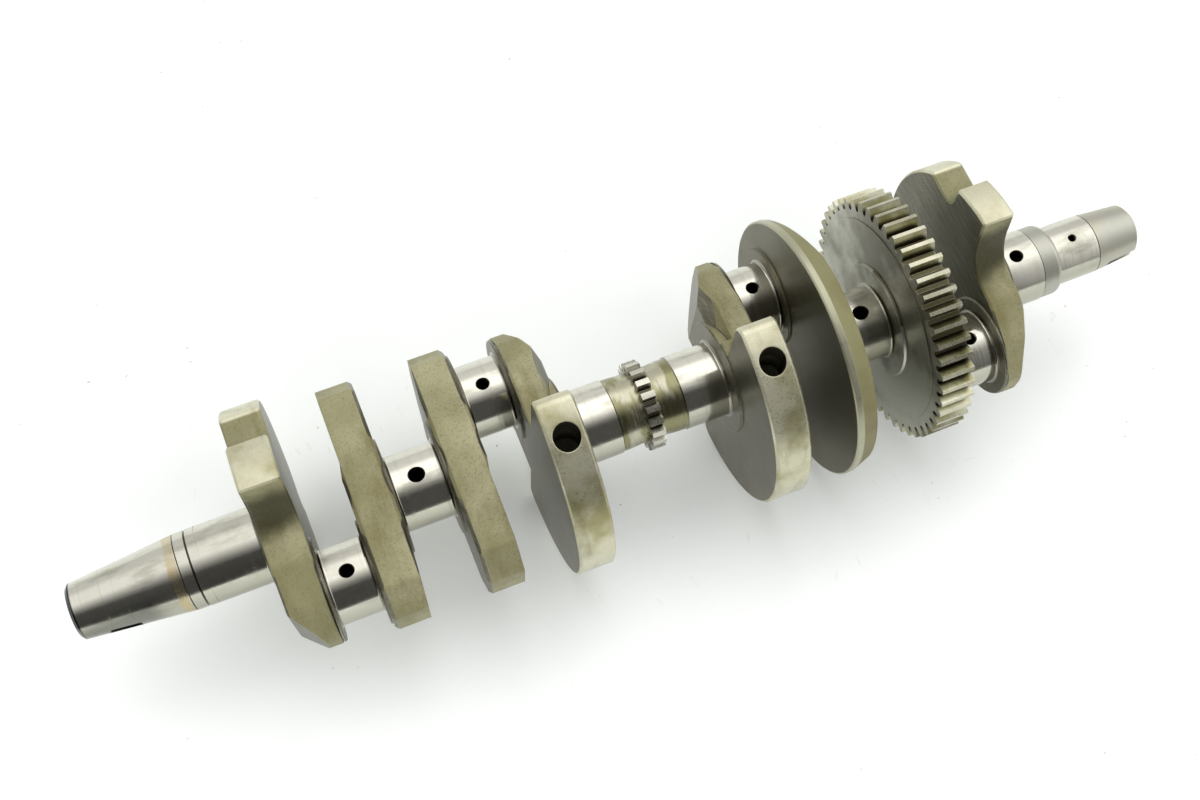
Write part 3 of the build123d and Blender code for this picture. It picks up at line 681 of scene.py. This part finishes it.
# ---- light ----
# Brightness of the sky by degrees round the shaft: 0 is overhead, 90 is level at the back.
SKY = [(-180, 0.35), (-92, 0.35), (-84, 0.10), (-32, 0.10), (-20, 0.35), (-6, 1.0)]
SKY += [(8, 1.95), (44, 1.95), (58, 1.05), (90, 0.9), (180, 0.5)]
SKY_RIGHT = [(-180, 0.35), (-92, 0.45), (-84, 0.6), (-50, 1.0), (-20, 1.6), (-6, 1.9)]
SKY_RIGHT += [(8, 1.9), (44, 1.4), (58, 0.85), (90, 0.8), (180, 0.5)]
SKY_LEFT = [(-180, 0.35), (-92, 0.30), (-84, 0.06), (-32, 0.08), (-20, 0.30), (-6, 0.7)]
SKY_LEFT += [(8, 1.2), (44, 1.2), (58, 0.85), (90, 0.8), (180, 0.5)]
# Where, by the X part of the direction, the sky turns into its right and left parts.
RIGHT_BEGINS = Patch(0.40, 0.50)
LEFT_ENDS = Patch(-0.10, 0.05)
SKY_WARMTH = 0.99
HALF_TURN = 180
FULL_TURN = 360


def ring_of_light(sky, angle, levels):
    """Brightness by angle round the shaft, from (degrees, level) pairs."""
    spread = sky.node("ShaderNodeMapRange")
    sky.feed(spread.inputs["Value"], angle)
    spread.inputs["From Min"].default_value = -math.pi
    spread.inputs["From Max"].default_value = math.pi
    ring = sky.node("ShaderNodeValToRGB")
    sky.feed(ring.inputs[0], spread.outputs[0])
    stops = ring.color_ramp.elements
    while len(stops) < len(levels):
        stops.new(0.5)
    for stop, (degrees, level) in zip(stops, levels):
        stop.position = (degrees + HALF_TURN) / FULL_TURN
        stop.color = (level, level, level * SKY_WARMTH, 1)
    return ring.outputs[0]


world = bpy.data.worlds.new("studio")
bpy.context.scene.world = world
world.use_nodes = True
sky = Nodes(world.node_tree)
x, y, z = sky.split(sky.node("ShaderNodeTexCoord").outputs["Generated"])
angle = sky.math("ARCTAN2", y, z)
middle = ring_of_light(sky, angle, SKY)
right = ring_of_light(sky, angle, SKY_RIGHT)
left = ring_of_light(sky, angle, SKY_LEFT)
light = sky.mix(sky.rise(x, RIGHT_BEGINS), middle, right)
light = sky.mix(sky.fall(x, LEFT_ENDS), light, left)
sky.feed(world.node_tree.nodes["Background"].inputs[0], light)


def soft_box(name, place, size, power):
    """A soft lamp aimed at the middle of the shaft, left out of reflections."""
    lamp = bpy.data.lights.new(name, "AREA")
    lamp.shape = "RECTANGLE"
    lamp.size, lamp.size_y = size
    lamp.energy = power
    holder = bpy.data.objects.new(name, lamp)
    bpy.context.scene.collection.objects.link(holder)
    holder.location = place
    holder.rotation_euler = (-Vector(place)).to_track_quat("-Z", "Y").to_euler()
    holder.visible_glossy = False


soft_box("key", place=(0.1, 0.75, 1.35), size=(1.6, 0.8), power=5)
soft_box("fill", place=(-0.3, -1.1, 0.9), size=(1.4, 0.7), power=11)

bpy.context.scene.view_settings.view_transform = "Standard"

# ---- camera ----
LENS = 43.347
SENSOR_WIDTH = 36.0
CAMERA_PLACE = Vector((-0.110978, -0.168396, 0.518063))
RIGHT = Vector((0.92574, -0.37548, 0.04496))
DOWN = Vector((-0.33582, -0.87093, -0.35877))
FORWARD = Vector((0.17387, 0.31703, -0.93234))

lens = bpy.data.cameras.new("camera")
lens.lens = LENS
lens.sensor_width = SENSOR_WIDTH
camera = bpy.data.objects.new("camera", lens)
bpy.context.scene.collection.objects.link(camera)
camera_turn = Matrix((RIGHT, -DOWN, -FORWARD)).transposed().to_4x4()
camera.matrix_world = Matrix.Translation(CAMERA_PLACE) @ camera_turn
bpy.context.scene.camera = camera
